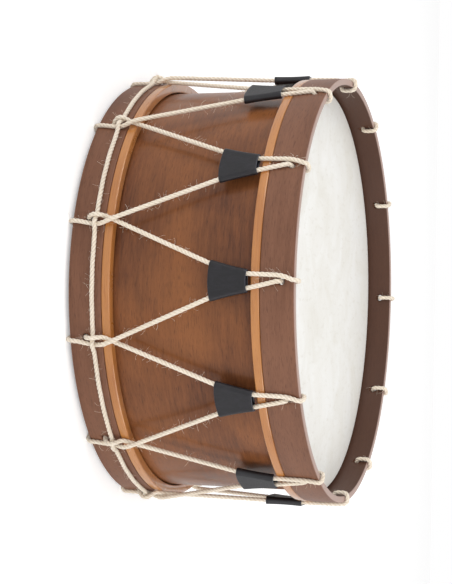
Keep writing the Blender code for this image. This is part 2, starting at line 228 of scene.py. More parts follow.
# Woods: the grain runs round the drum on every wooden piece
woodLooks = {
    "shellWood": {"dark": colour(80, 46, 29), "middle": colour(120, 72, 43), "light": colour(152, 95, 53),
                  "figure": (7, 7, 11), "grain": (26, 26, 300), "pore": colour(60, 33, 22),
                  "roughness": 0.3, "specular": 0.22, "coat": 0.16, "coatRoughness": 0.1, "depth": 0.2},
    "hoopWood": {"dark": colour(100, 65, 48), "middle": colour(122, 82, 62), "light": colour(136, 94, 72),
                 "figure": (6, 6, 30), "grain": (24, 24, 420), "pore": colour(70, 43, 33),
                 "roughness": 0.42, "specular": 0.25, "coat": 0.05, "coatRoughness": 0.2, "depth": 0.3,
                 # the next colours are painted shade for the hoops' inner faces and a painted highlight along their
                 # free edges
                 "insideShade": colour(66, 42, 32), "insideShadeRadii": (0.2604, 0.2594), "edgeHighlight": colour(190, 165, 155),
                 "edgeHighlightHeights": (drum["upperEdge"] / 2 - drum["lowerEdge"] / 2 - 0.0012,
                                 drum["upperEdge"] / 2 - drum["lowerEdge"] / 2 - 0.0003)},
    "ringWood": {"dark": colour(164, 100, 44), "middle": colour(184, 118, 56), "light": colour(196, 132, 68),
                 "figure": (8, 8, 30), "grain": (24, 24, 500), "pore": colour(160, 98, 50),
                 "roughness": 0.25, "specular": 0.4, "coat": 0.8, "coatRoughness": 0.05, "depth": 0.1},
}


def woodFinish(name):
    look = woodLooks[name]
    finish = Finish(name)
    figure = finish.spread(finish.noise(look["figure"], 2.0, 0.5, 0.6), 0.3, 0.7)
    grain = finish.spread(finish.noise(look["grain"], 6.0, 0.65), 0.3, 0.7)
    pores = finish.spread(finish.noise((110, 110, 1500), 2.0, 0.5), 0.56, 0.7)
    ground = finish.mix(grain, look["dark"], look["middle"])
    lit = finish.mix(figure * 0.7, ground, look["light"])
    stainAndPaintedLight = finish.mix(pores * 0.55, lit, look["pore"])
    if "insideShade" in look:
        # painted shade: the hoops' inner faces darkened towards a dark brown, as if in the shadow of the recess
        inwardShade = finish.spread(finish.radius(), *look["insideShadeRadii"])
        stainAndPaintedLight = finish.mix(inwardShade * 0.8, stainAndPaintedLight, look["insideShade"])
        # painted highlight: a pale pinkish band along the hoops' free edges, as if catching the light at a grazing
        # angle
        middle = (drum["upperEdge"] + drum["lowerEdge"]) / 2
        edgeHighlight = finish.spread(finish.heightFrom(middle), *look["edgeHighlightHeights"])
        stainAndPaintedLight = finish.mix(edgeHighlight * 0.7, stainAndPaintedLight, look["edgeHighlight"])
    return finish.surface({
        "Base Color": stainAndPaintedLight,
        "Roughness": look["roughness"] + grain * 0.1,
        "Specular IOR Level": look["specular"],
        "Coat Weight": look["coat"],
        "Coat Roughness": look["coatRoughness"],
        "Normal": finish.bump(grain * 0.6 - pores, look["depth"], 0.0002),
    })


def skinFinish():
    finish = Finish("drumSkin")
    clouds = finish.spread(finish.noise((14, 14, 14), 5.0, 0.6, 0.8), 0.35, 0.7)
    flecks = finish.spread(finish.noise((160, 60, 90), 4.0, 0.6), 0.55, 0.75)
    tone = finish.mix(clouds, colour(241, 240, 236), colour(228, 225, 217))
    tone = finish.mix(flecks * 0.5, tone, colour(214, 209, 198))
    fine = finish.noise((900, 900, 900), 3.0, 0.6)
    return finish.surface({
        "Base Color": tone,
        "Roughness": 0.42 + clouds * 0.12,
        "Normal": finish.bump(fine + clouds, 0.12, 0.0003),
    })


def ropeFinish():
    finish = Finish("hempRope")
    grooveShade = finish.attribute("grooveShade")
    strands = finish.spread(finish.noise((700, 700, 700), 3.0, 0.6), 0.3, 0.7)
    stains = finish.spread(finish.noise((30, 30, 30), 3.0, 0.6), 0.5, 0.75)
    tone = finish.mix(strands, colour(252, 243, 228), colour(238, 223, 201))
    tone = finish.mix(stains * 0.35, tone, colour(222, 203, 174))
    # painted shade: the rope darkened towards brown in the grooves between strands
    tone = finish.mix(grooveShade * 0.35, tone, colour(170, 143, 112))
    return finish.surface({
        "Base Color": tone,
        "Roughness": 0.85 + strands * 0.1,
        "Sheen Weight": 0.25,
        "Normal": finish.bump(strands, 0.5, 0.0003),
    })


def leatherFinish():
    finish = Finish("blackLeather")
    pebbles = finish.spread(finish.noise((1100, 1100, 1100), 3.0, 0.55), 0.3, 0.7)
    creases = finish.spread(finish.noise((120, 120, 60), 4.0, 0.6, 1.0), 0.45, 0.75)
    rimSheen = finish.attribute("rim")
    tone = finish.mix(creases, colour(23, 22, 26), colour(34, 32, 38))
    # painted sheen: the rolled rims lightened towards a bluish grey; the same mask also lowers the roughness there
    tone = finish.mix(rimSheen * 0.6, tone, colour(70, 75, 90))
    return finish.surface({
        "Base Color": tone,
        "Roughness": 0.4 - rimSheen * 0.16 + pebbles * 0.1,
        "Specular IOR Level": 0.35,
        "Coat Weight": 0.08,
        "Coat Roughness": 0.3,
        "Normal": finish.bump(pebbles + creases, 0.35, 0.0003),
    })


shellWood = woodFinish("shellWood")
hoopWood = woodFinish("hoopWood")
ringWood = woodFinish("ringWood")
drumSkin = skinFinish()
hempRope = ropeFinish()
blackLeather = leatherFinish()
print("materials made")


# Turned pieces
turning = {"steps": 240, "cornerPoints": 5, "sharpAngle": math.radians(50)}


def softened(profile, radius, closed=True):
    # each corner of a (radius, height) outline replaced by a short curve
    count = len(profile)
    points = []
    for index, corner in enumerate(profile):
        if not closed and index in (0, count - 1):
            points.append(corner)
            continue
        here = Vector(corner)
        before = Vector(profile[index - 1])
        after = Vector(profile[(index + 1) % count])
        reach = min(radius, (before - here).length * 0.45, (after - here).length * 0.45)
        first = here + (before - here).normalized() * reach
        last = here + (after - here).normalized() * reach
        for step in range(turning["cornerPoints"]):
            share = step / (turning["cornerPoints"] - 1)
            points.append(tuple(first.lerp(here, share).lerp(here.lerp(last, share), share)))
    return points


def addPiece(name, mesh, material):
    mesh.materials.clear()
    mesh.materials.append(material)
    piece = bpy.data.objects.new(name, mesh)
    bpy.context.scene.collection.objects.link(piece)
    return piece


def turnedMesh(name, profile, closed):
    # the outline turned about Z; open outlines start and end on the axis
    steps = turning["steps"]
    shape = bmesh.new()
    rings = []
    for radius, height in profile:
        if radius < 1e-6:
            rings.append([shape.verts.new((0, 0, height))] * steps)
            continue
        ring = []
        for step in range(steps):
            angle = 2 * math.pi * step / steps
            ring.append(shape.verts.new((radius * math.cos(angle), radius * math.sin(angle), height)))
        rings.append(ring)
    pairs = list(zip(rings, rings[1:])) + ([(rings[-1], rings[0])] if closed else [])
    for first, second in pairs:
        for step in range(steps):
            after = (step + 1) % steps
            corners = []
            for vertex in (first[step], second[step], second[after], first[after]):
                if vertex not in corners:
                    corners.append(vertex)
            shape.faces.new(corners)
    bmesh.ops.recalc_face_normals(shape, faces=shape.faces)
    mesh = bpy.data.meshes.new(name)
    shape.to_mesh(mesh)
    shape.free()
    mesh.shade_smooth()
    mesh.set_sharp_from_angle(angle=turning["sharpAngle"])
    return mesh


def flipped(profile):
    middle = drum["upperEdge"] + drum["lowerEdge"]
    return [(radius, middle - height) for radius, height in reversed(profile)]


hoops = {"round": 0.0016, "holeRadius": 0.0039, "flare": 0.0012, "holeSides": 24,
         "upperHoleInset": 0.0155, "lowerHoleInset": 0.0195, "lowerHoleOffset": 0.0028}


def holeTool(height, firstBearing):
    # flared bores at every lacing point, as one cutting mesh
    middle = (drum["hoopOuter"] + drum["hoopInner"]) / 2
    half = (drum["hoopOuter"] - drum["hoopInner"]) / 2
    wide = hoops["holeRadius"] + hoops["flare"]
    rings = [(wide, -half - 0.001), (wide, -half), (hoops["holeRadius"], -half + hoops["flare"]),
             (hoops["holeRadius"], half - hoops["flare"]), (wide, half), (wide, half + 0.001)]
    shape = bmesh.new()
    for index in range(drum["loops"]):
        place = Matrix.Rotation(firstBearing + index * loopAngle, 4, "Z") @ Matrix.Translation((0, -middle, height))
        made = []
        for radius, along in rings:
            ring = []
            for side in range(hoops["holeSides"]):
                angle = 2 * math.pi * side / hoops["holeSides"]
                spot = place @ Vector((radius * math.cos(angle), along, radius * math.sin(angle)))
                ring.append(shape.verts.new(spot))
            made.append(ring)
        for first, second in zip(made, made[1:]):
            for side in range(hoops["holeSides"]):
                after = (side + 1) % hoops["holeSides"]
                shape.faces.new((first[side], first[after], second[after], second[side]))
        shape.faces.new(made[0])
        shape.faces.new(made[-1])
    bmesh.ops.recalc_face_normals(shape, faces=shape.faces)
    mesh = bpy.data.meshes.new("holeTool")
    shape.to_mesh(mesh)
    shape.free()
    tool = bpy.data.objects.new("holeTool", mesh)
    bpy.context.scene.collection.objects.link(tool)
    return tool


def addHoop(name, node, profile, height, firstBearing):
    piece = addPiece(name, turnedMesh(name, softened(profile, hoops["round"]), True), hoopWood)
    tool = holeTool(height, firstBearing)
    cut = piece.modifiers.new("holes", "BOOLEAN")
    cut.operation = "DIFFERENCE"
    cut.object = tool
    bpy.context.view_layer.update()
    done = bpy.data.meshes.new_from_object(piece.evaluated_get(bpy.context.evaluated_depsgraph_get()))
    piece.modifiers.clear()
    piece.data = done
    done.name = name
    done.shade_smooth()
    done.set_sharp_from_angle(angle=turning["sharpAngle"])
    bpy.data.objects.remove(tool, do_unlink=True)
    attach(piece, "drum")
    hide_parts(node)


ringShape = {"bore": 0.2552, "slotInner": 0.2564, "slotOuter": 0.2578, "slotDepth": 0.0063, "round": 0.0018}
bearingEdge = {"slope": 0.0035, "crown": 0.0015, "outerDrop": 0.0025, "round": 0.001}
headShape = {"thickness": 0.0008, "flatRadius": 0.25265, "outerFlat": 0.0004, "turn": 0.0027, "turnDrop": 0.0024,
             "rim": 0.2567, "rimDepth": 0.006, "round": 0.0012}


def addWoodAndSkin():
    top, bottom = drum["upperEdge"], drum["upperEdge"] - drum["hoopWidth"]
    outer, inner = drum["hoopOuter"], drum["hoopInner"]
    hoopProfile = [(outer, top), (outer, bottom), (inner, bottom), (inner, top)]
    lowerBearing = loopAngle / 2 - hoops["lowerHoleOffset"] / outer
    addHoop("upperHoop", "upper_counterhoop", hoopProfile, top - hoops["upperHoleInset"], 0.0)
    addHoop("lowerHoop", "lower_counterhoop", flipped(hoopProfile), drum["lowerEdge"] + hoops["lowerHoleInset"],
            lowerBearing)

    ringTop, ringBottom = upperRingBox[1][2], upperRingBox[0][2]
    bore, slotInner, slotOuter = ringShape["bore"], ringShape["slotInner"], ringShape["slotOuter"]
    slotFloor = ringTop - ringShape["slotDepth"]
    ringProfile = [(outer, ringTop), (outer, ringBottom), (bore, ringBottom), (bore, ringTop),
                   (slotInner, ringTop), (slotInner, slotFloor), (slotOuter, slotFloor), (slotOuter, ringTop)]
    for name, node, profile in (("upperRing", "upper_flesh_hoop", ringProfile),
                                ("lowerRing", "lower_flesh_hoop", flipped(ringProfile))):
        piece = addPiece(name, turnedMesh(name, softened(profile, ringShape["round"]), True), ringWood)
        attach(piece, "drum")
        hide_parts(node)

    low, high = drum["shellLow"], drum["shellHigh"]
    radius, bore = drum["shellOuter"], drum["shellOuter"] - drum["shellWall"]
    slope = bearingEdge["slope"]
    shellHalf = [(bore, high - slope), (radius - slope, high), (radius - bearingEdge["crown"], high),
                 (radius, high - bearingEdge["outerDrop"])]
    shellProfile = shellHalf + [(r, low + high - z) for r, z in reversed(shellHalf)]
    shellMesh = turnedMesh("shellBody", softened(shellProfile, bearingEdge["round"]), True)
    piece = addPiece("shellBody", shellMesh, shellWood)
    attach(piece, "drum")
    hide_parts("shell")

    face = drum["headFace"]
    thick, flat, rim = headShape["thickness"], headShape["flatRadius"], headShape["rim"]
    rimFoot = ringTop - headShape["rimDepth"]
    turned, outerFlat = flat + headShape["turn"], flat + headShape["outerFlat"]
    turnFoot = face - headShape["turnDrop"]
    headProfile = [(0.0, face), (outerFlat, face), (turned + headShape["outerFlat"], turnFoot),
                   (rim + thick, ringTop), (rim + thick, rimFoot), (rim, rimFoot), (rim, ringTop),
                   (turned, turnFoot - thick), (flat, face - thick), (0.0, face - thick)]
    for name, node, profile in (("upperSkin", "upper_head", headProfile),
                                ("lowerSkin", "lower_head", flipped(headProfile))):
        piece = addPiece(name, turnedMesh(name, softened(profile, headShape["round"], False), False), drumSkin)
        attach(piece, "drum")
        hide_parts(node)


addWoodAndSkin()
print("shell, hoops, rings and heads made")


# Rope. One lacing unit runs up through a tug, over the upper hoop, back down through the tug,
# and round the lower hoop to the next unit.
rope = {"diameter": 0.0055, "pitch": 0.0060, "lay": 0.0165, "around": 24, "step": 0.0009, "softness": 0.0013,
        "grooveDepth": 0.23, "hoopRopeInset": 0.0305, "crossingInset": 0.05275, "splitInset": 0.06075,
        "arcPoints": 7, "spare": 20, "strands": 3}
fuzz = {"density": 24000.0, "length": 0.0064, "thickness": 0.00008, "seed": 11, "clear": 0.005}
tug = {"length": 0.042, "leather": 0.0018, "topSpread": 0.0165, "bottomSpread": 0.037, "gapToRing": 0.0034,
       "bulge": 0.0025, "dip": 0.001, "clearance": 0.0005}
ropeRadius = rope["diameter"] / 2
outerSeat = drum["hoopOuter"] * facetShare + drum["gap"] + ropeRadius
innerSeat = drum["hoopInner"] * facetShare - drum["gap"] - ropeRadius
crossingHeight = drum["lowerEdge"] + rope["crossingInset"]
splitHeight = drum["lowerEdge"] + rope["splitInset"]
hoopRopeHeight = drum["lowerEdge"] + rope["hoopRopeInset"]
upperHole = drum["upperEdge"] - hoops["upperHoleInset"]
lowerHole = drum["lowerEdge"] + hoops["lowerHoleInset"]
crossingOut = (outerSeat + rope["pitch"] / 2) * math.cos(loopAngle / 2)
lean = math.atan2(outerSeat - crossingOut, upperRingBox[0][2] - crossingHeight)
tugTopOut = outerSeat - tug["gapToRing"] * math.sin(lean)
tugTopHeight = upperRingBox[0][2] - tug["gapToRing"] * math.cos(lean)

# routes as (right, out from the hoop's seat, height), the same points as the solids have
risingStrand = ((-0.0070, -0.0065), (-0.0064, 0.0), (-0.0046, 0.0065))
fallingStrand = (0.0024, -0.0140)
edgeDrift = 0.0016
arrivingStrand = ((0.0030, 0.00525, 0.01475), (0.0045, 0.00315, 0.00925), (0.0050, 0.00085, 0.00375),
                  (0.0049, 0.0, -0.0025), (0.0035, 0.0, -0.0110), (0.0014, 0.0, -0.0215))
bightDrift = 0.0007
leavingStrand = ((-0.0031, -0.00085, -0.00975), (-0.0037, 0.00285, -0.00755), (-0.0043, 0.00655, -0.00395),
                 (-0.0046, 0.0079, 0.00025), (-0.0046, 0.0059, 0.00525), (-0.0042, 0.0016, 0.01075),
                 (-0.0030, 0.0, 0.01475))
hoopRopeWeave = ((-0.0110, 0.0), (-0.0075, 0.00055), (-0.0046, 0.00155), (-0.0024, 0.00235), (0.0, 0.00385),
                 (0.0022, 0.00545), (0.0050, 0.0060), (0.0080, 0.0053), (0.0110, 0.0025), (0.0140, 0.0006))


def atBearing(bearing, right, out, height):
    return Matrix.Rotation(bearing, 3, "Z") @ Vector((right, -out, height))


def arc(centreOut, centreUp, radius, start, end):
    angles = np.radians(np.linspace(start, end, rope["arcPoints"]))
    return [(centreOut + radius * math.cos(a), centreUp + radius * math.sin(a)) for a in angles]


def edgeTurn(edge, side):
    corner = 0.0015
    bend = corner + drum["gap"] + ropeRadius
    up = edge - side * corner
    first = arc(drum["hoopOuter"] * facetShare - corner, up, bend, 0, side * 90)
    return first + arc(drum["hoopInner"] * facetShare + corner, up, bend, side * 90, side * 180)


def holeTurn(height, side):
    bend = hoops["flare"] + drum["gap"] + ropeRadius
    rise = side * (hoops["holeRadius"] * math.cos(math.pi / 8) + hoops["flare"])
    first = arc(drum["hoopInner"] * facetShare + hoops["flare"], height + rise, bend, 180, 180 + side * 90)
    return first, arc(drum["hoopOuter"] * facetShare - hoops["flare"], height - rise, bend, side * 90, 0)


def between(line, height):
    return line[0].lerp(line[1], (height - line[0].z) / (line[1].z - line[0].z))


def tugPoint(right, outwards, up):
    out = tugTopOut + outwards * math.cos(lean) + up * math.sin(lean)
    return Vector((right, -out, tugTopHeight - outwards * math.sin(lean) + up * math.cos(lean)))


leftLine = (atBearing(-loopAngle / 2, 0, outerSeat, crossingHeight),
            tugPoint(-tug["bottomSpread"] / 2, 0, -tug["length"]))
rightLine = (atBearing(loopAngle / 2, 0, outerSeat + rope["pitch"], crossingHeight),
             tugPoint(tug["bottomSpread"] / 2, 0, -tug["length"]))


def spanRoute():
    points = [between(leftLine, splitHeight), leftLine[1], tugPoint(-tug["topSpread"] / 2, 0, 0)]
    points += [atBearing(0, right, outerSeat, upperHole + above) for right, above in risingStrand]
    turn = edgeTurn(drum["upperEdge"], 1)
    for index, (out, up) in enumerate(turn):
        points.append(atBearing(0, -edgeDrift * (1 - index / (len(turn) - 1)), out, up))
    inwards, outwards = holeTurn(upperHole, 1)
    points += [atBearing(0, 0, out, up) for out, up in inwards + outwards]
    points.append(atBearing(0, fallingStrand[0], outerSeat, upperHole + fallingStrand[1]))
    points += [tugPoint(tug["topSpread"] / 2, 0, 0), rightLine[1], between(rightLine, splitHeight)]
    return points


def bightRoute():
    half = Matrix.Rotation(loopAngle / 2, 3, "Z")
    arriving = [half.inverted() @ point for point in rightLine]
    leaving = [half @ point for point in leftLine]
    points = [between(arriving, splitHeight), arriving[0]]
    points += [atBearing(0, right, outerSeat + out, hoopRopeHeight + up) for right, out, up in arrivingStrand]
    turn = edgeTurn(drum["lowerEdge"], -1)
    for index, (out, up) in enumerate(turn):
        points.append(atBearing(0, bightDrift * (1 - 2 * index / (len(turn) - 1)), out, up))
    inwards, outwards = holeTurn(lowerHole, -1)
    halfway = (turn[-1][1] + inwards[0][1]) / 2
    points.append(atBearing(0, -(bightDrift + hoops["lowerHoleOffset"]) / 2, innerSeat, halfway))
    points += [atBearing(0, -hoops["lowerHoleOffset"], out, up) for out, up in inwards + outwards[:2]]
    points += [atBearing(0, right, outerSeat + out, hoopRopeHeight + up) for right, out, up in leavingStrand]
    points += [leaving[0], between(leaving, splitHeight)]
    return [half @ point for point in points]  # the bight after loop 1 lies half a loop further round


def evenly(points, step):
    # the same line with points at an even spacing
    spots = np.array([tuple(point) for point in points])
    along = np.concatenate([[0], np.cumsum(np.linalg.norm(np.diff(spots, axis=0), axis=1))])
    count = int(round(along[-1] / step))
    marks = np.linspace(0, along[-1], count + 1)
    return np.stack([np.interp(marks, along, spots[:, axis]) for axis in range(3)], axis=1)


def rounded(spots, spread, step):
    # a running average along the line; the caller gives it spare points at both ends
    reach = int(math.ceil(3 * spread / step))
    weights = np.exp(-0.5 * (np.arange(-reach, reach + 1) * step / spread) ** 2)
    weights /= weights.sum()
    padded = np.concatenate([np.repeat(spots[:1], reach, 0), spots, np.repeat(spots[-1:], reach, 0)])
    return np.stack([np.convolve(padded[:, axis], weights, "valid") for axis in range(3)], axis=1)


def carriedNormals(spots):
    # directions across the line, carried along it without twist
    ways = np.gradient(spots, axis=0)
    ways /= np.linalg.norm(ways, axis=1)[:, None]
    sides = np.zeros_like(spots)
    side = np.cross(ways[0], (0.0, 0.0, 1.0))
    if np.linalg.norm(side) < 0.1:
        side = np.cross(ways[0], (1.0, 0.0, 0.0))
    for index, way in enumerate(ways):
        side = side - way * side.dot(way)
        side /= np.linalg.norm(side)
        sides[index] = side
    return ways, sides


def looseness(spots):
    # 1 where fibres stand off the rope, 0 inside a tug and close to its mouths
    heights = spots[:, 2]
    covered = (heights > tugTopHeight - tug["length"] - fuzz["clear"]) & (heights < tugTopHeight + fuzz["clear"])
    return 1.0 - covered


def laidRope(name, spots, ways, sides, angles, closed):
    # a three-strand rope swept along the line, its grooves kept as a point attribute that carries painted shade
    around = rope["around"]
    turnsRound = 2 * np.pi * np.arange(around) / around
    strandsRound = turnsRound * rope["strands"] / (2 * np.pi)
    offset = np.abs((strandsRound + 0.5) % 1.0 - 0.5) * 2  # 0 on a strand, 1 in a groove
    reach = ropeRadius * (1 - rope["grooveDepth"] * offset ** 2.2)
    across = np.cross(ways, sides)
    phase = turnsRound[None, :] + angles[:, None]
    points = (spots[:, None, :] + reach[None, :, None] * (np.cos(phase)[..., None] * sides[:, None, :]
              + np.sin(phase)[..., None] * across[:, None, :])).reshape(-1, 3)
    points[:, 2] = np.maximum(points[:, 2], 0.0)  # flat where the drum stands on it
    rows = len(spots)
    faces = []
    for row in range(rows if closed else rows - 1):
        here, there = row * around, (row + 1) % rows * around
        for side in range(around):
            after = (side + 1) % around
            faces.append((here + side, here + after, there + after, there + side))
    if not closed:
        faces.append(tuple(range(around - 1, -1, -1)))
        faces.append(tuple(range((rows - 1) * around, rows * around)))
    mesh = bpy.data.meshes.new(name)
    mesh.from_pydata(points.tolist(), [], faces)
    grooveShades = mesh.attributes.new("grooveShade", "FLOAT", "POINT")
    grooveShades.data.foreach_set("value", np.tile(offset ** 2, rows))
    loose = mesh.attributes.new("loose", "FLOAT", "POINT")
    loose.data.foreach_set("value", np.repeat(looseness(spots), around))
    mesh.shade_smooth()
    mesh.update()
    return mesh



def fuzzTree():
    tree = bpy.data.node_groups.new("ropeFuzz", "GeometryNodeTree")
    face = tree.interface
    face.new_socket("Geometry", in_out="INPUT", socket_type="NodeSocketGeometry")
    for label, kind in (("Density", "NodeSocketFloat"), ("Length", "NodeSocketFloat"),
                        ("Thickness", "NodeSocketFloat"), ("Seed", "NodeSocketInt"),
                        ("Material", "NodeSocketMaterial")):
        face.new_socket(label, in_out="INPUT", socket_type=kind)
    face.new_socket("Geometry", in_out="OUTPUT", socket_type="NodeSocketGeometry")
    new, link = tree.nodes.new, tree.links.new
    start, end = new("NodeGroupInput"), new("NodeGroupOutput")
    scatter = new("GeometryNodeDistributePointsOnFaces")
    link(start.outputs["Geometry"], scatter.inputs["Mesh"])
    loose, dense = new("GeometryNodeInputNamedAttribute"), new("ShaderNodeMath")
    loose.data_type = "FLOAT"
    loose.inputs["Name"].default_value = "loose"
    dense.operation = "MULTIPLY"
    link(loose.outputs["Attribute"], dense.inputs[0])
    link(start.outputs["Density"], dense.inputs[1])
    link(dense.outputs[0], scatter.inputs["Density"])
    link(start.outputs["Seed"], scatter.inputs["Seed"])
    hair = new("GeometryNodeCurveQuadraticBezier")
    hair.inputs["Resolution"].default_value = 4
    for label, place in (("Start", (0.0, 0.0, -0.15)), ("Middle", (0.35, 0.0, 0.5)), ("End", (1.0, 0.2, 0.55))):
        scaled = new("ShaderNodeVectorMath")
        scaled.operation = "SCALE"
        scaled.inputs[0].default_value = place
        link(start.outputs["Length"], scaled.inputs["Scale"])
        link(scaled.outputs[0], hair.inputs[label])
    ringShape = new("GeometryNodeCurvePrimitiveCircle")
    ringShape.inputs["Resolution"].default_value = 3
    link(start.outputs["Thickness"], ringShape.inputs["Radius"])
    solid = new("GeometryNodeCurveToMesh")
    solid.inputs["Fill Caps"].default_value = True
    link(hair.outputs[0], solid.inputs["Curve"])
    link(ringShape.outputs[0], solid.inputs["Profile Curve"])
    tip, size = new("FunctionNodeRandomValue"), new("FunctionNodeRandomValue")
    tip.data_type = "FLOAT_VECTOR"
    tip.inputs[0].default_value = (-0.7, -0.7, -3.14)
    tip.inputs[1].default_value = (0.7, 0.7, 3.14)
    size.data_type = "FLOAT"
    size.inputs[2].default_value = 0.35
    size.inputs[3].default_value = 1.35
    turn = new("FunctionNodeRotateRotation")
    turn.rotation_space = "LOCAL"
    link(scatter.outputs["Rotation"], turn.inputs[0])
    link(tip.outputs[0], turn.inputs[1])
    place = new("GeometryNodeInstanceOnPoints")
    link(scatter.outputs["Points"], place.inputs["Points"])
    link(solid.outputs[0], place.inputs["Instance"])
    link(turn.outputs[0], place.inputs["Rotation"])
    link(size.outputs[1], place.inputs["Scale"])
    real, join = new("GeometryNodeRealizeInstances"), new("GeometryNodeJoinGeometry")
    paint = new("GeometryNodeSetMaterial")
    link(place.outputs[0], join.inputs[0])
    link(start.outputs["Geometry"], join.inputs[0])
    link(join.outputs[0], real.inputs[0])
    link(real.outputs[0], paint.inputs["Geometry"])
    link(start.outputs["Material"], paint.inputs["Material"])
    link(paint.outputs[0], end.inputs[0])
    return tree


ropeFuzz = fuzzTree()


def addRopePiece(name, mesh, seed):
    # the rope with its loose fibres, as one plain mesh
    piece = addPiece(name, mesh, hempRope)
    grow = piece.modifiers.new("fuzz", "NODES")
    grow.node_group = ropeFuzz
    wanted = {"Density": fuzz["density"], "Length": fuzz["length"], "Thickness": fuzz["thickness"],
              "Seed": fuzz["seed"] + seed, "Material": hempRope}
    for item in ropeFuzz.interface.items_tree:
        if item.in_out == "INPUT" and item.name in wanted:
            grow[item.identifier] = wanted[item.name]
    bpy.context.view_layer.update()
    done = bpy.data.meshes.new_from_object(piece.evaluated_get(bpy.context.evaluated_depsgraph_get()))
    piece.modifiers.clear()
    piece.data = done
    done.name = name
    spots = np.empty(len(done.vertices) * 3)
    done.vertices.foreach_get("co", spots)
    spots = spots.reshape(-1, 3)
    spots[:, 2] = np.maximum(spots[:, 2], 0.0)
    done.vertices.foreach_set("co", spots.ravel())
    done.update()
    return piece


def unitLine():
    # one whole unit with a little of its neighbours, averaged, then cut back to the unit
    step = rope["step"]
    span, bight = spanRoute(), bightRoute()
    unit = evenly(span + bight[1:], step)
    back, on = Matrix.Rotation(-loopAngle, 3, "Z"), Matrix.Rotation(loopAngle, 3, "Z")
    spare = rope["spare"]
    before = np.array([tuple(back @ Vector(spot)) for spot in unit[-spare - 1:-1]])
    after = np.array([tuple(on @ Vector(spot)) for spot in unit[1:spare + 1]])
    smooth = rounded(np.concatenate([before, unit, after]), rope["softness"], step)
    return smooth[spare:-spare]


def rowNearest(spots, target, low, high):
    distances = np.linalg.norm(spots[low:high] - np.array(tuple(target)), axis=1)
    return low + int(np.argmin(distances))


def addLacing():
    spots = unitLine()
    ways, sides = carriedNormals(spots)
    length = rope["step"] * (len(spots) - 1)
    # the lay repeats from unit to unit: whole turns, less the twist that the line itself brings
    on = np.array(Matrix.Rotation(loopAngle, 3, "Z"))
    goal = on @ sides[0]
    across = np.cross(ways[-1], sides[-1])
    mismatch = math.atan2(goal.dot(across), goal.dot(sides[-1]))
    turns = rope["strands"] * round(length / rope["lay"] / rope["strands"])
    angles = np.linspace(0, 2 * math.pi * turns + mismatch, len(spots))
    third = len(spots) // 3
    inTug = -tug["length"] / 2
    middleSpread = (tug["topSpread"] + tug["bottomSpread"]) / 4
    first = rowNearest(spots, tugPoint(-middleSpread, 0, inTug), 0, third)
    second = rowNearest(spots, tugPoint(middleSpread, 0, inTug), third, len(spots))
    split = rowNearest(spots, between(rightLine, splitHeight), second, len(spots))
    parts = {"lowerLeft": (0, first + 1), "upper": (first, second + 1), "lowerRight": (second, split + 1),
             "bight": (split, len(spots))}
    meshes = {}
    for label, (low, high) in parts.items():
        meshes[label] = laidRope(label, spots[low:high], ways[low:high], sides[low:high], angles[low:high], False)
    mouthTop, mouthBottom = tugPoint(0, 0, 0), tugPoint(0, 0, -tug["length"])
    holeFoot = atBearing(0, 0, outerSeat, upperHole + fallingStrand[1])
    splitFoot = tugPoint(0, 0, 0) + (mouthBottom - mouthTop).normalized() * (
        (tugTopHeight - splitHeight) / math.cos(lean))
    for index in range(drum["loops"]):
        number = f"{index + 1:02d}"
        turn = Matrix.Rotation(index * loopAngle, 4, "Z")
        for label, mesh in meshes.items():
            own = mesh.copy()
            own.transform(turn)
            seed = 10 * index + list(meshes).index(label)
            piece = addRopePiece(f"rope_{label}_{number}", own, seed)
            if label == "bight":
                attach(piece, "drum")
                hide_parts(f"lacing_bight_{number}")
                continue
            top = label == "upper"
            start = turn @ (holeFoot if top else splitFoot)
            end = turn @ (mouthTop if top else mouthBottom)
            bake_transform(piece)
            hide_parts(f"lacing_span_{number}")
    print("lacing unit length:", round(length, 4), "m")


def addHoopRope():
    points = []
    facet = 2 * math.pi / drum["cadFacets"]
    for index in range(drum["loops"]):
        bearing = (index + 0.5) * loopAngle
        points += [atBearing(bearing, right, outerSeat + out, hoopRopeHeight) for right, out in hoopRopeWeave]
        for corner in range(4):
            points.append(atBearing(bearing + (corner + 0.5) * facet, 0, outerSeat / facetShare, hoopRopeHeight))
    step = rope["step"]
    spots = evenly(points + points[:1], step)[:-1]
    spare = rope["spare"]
    smooth = rounded(np.concatenate([spots[-spare:], spots, spots[:spare]]), 2 * rope["softness"], step)
    spots = smooth[spare:-spare]
    ways = np.roll(spots, -1, axis=0) - np.roll(spots, 1, axis=0)
    ways /= np.linalg.norm(ways, axis=1)[:, None]
    sides = np.cross(ways, (0.0, 0.0, 1.0))
    sides /= np.linalg.norm(sides, axis=1)[:, None]
    turns = round(step * len(spots) / rope["lay"])
    angles = 2 * math.pi * turns * np.arange(len(spots)) / len(spots)
    piece = addRopePiece("hoopRope", laidRope("hoopRope", spots, ways, sides, angles, True), 500)
    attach(piece, "drum")
    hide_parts("hoop_rope")
    print("hoop rope length:", round(step * len(spots), 3), "m")


addLacing()
addHoopRope()
print("rope laid")


# Leather tugs
leather = {"around": 72, "rows": 14, "rimPoints": 7, "waist": 0.0006, "roundShare": 0.4}


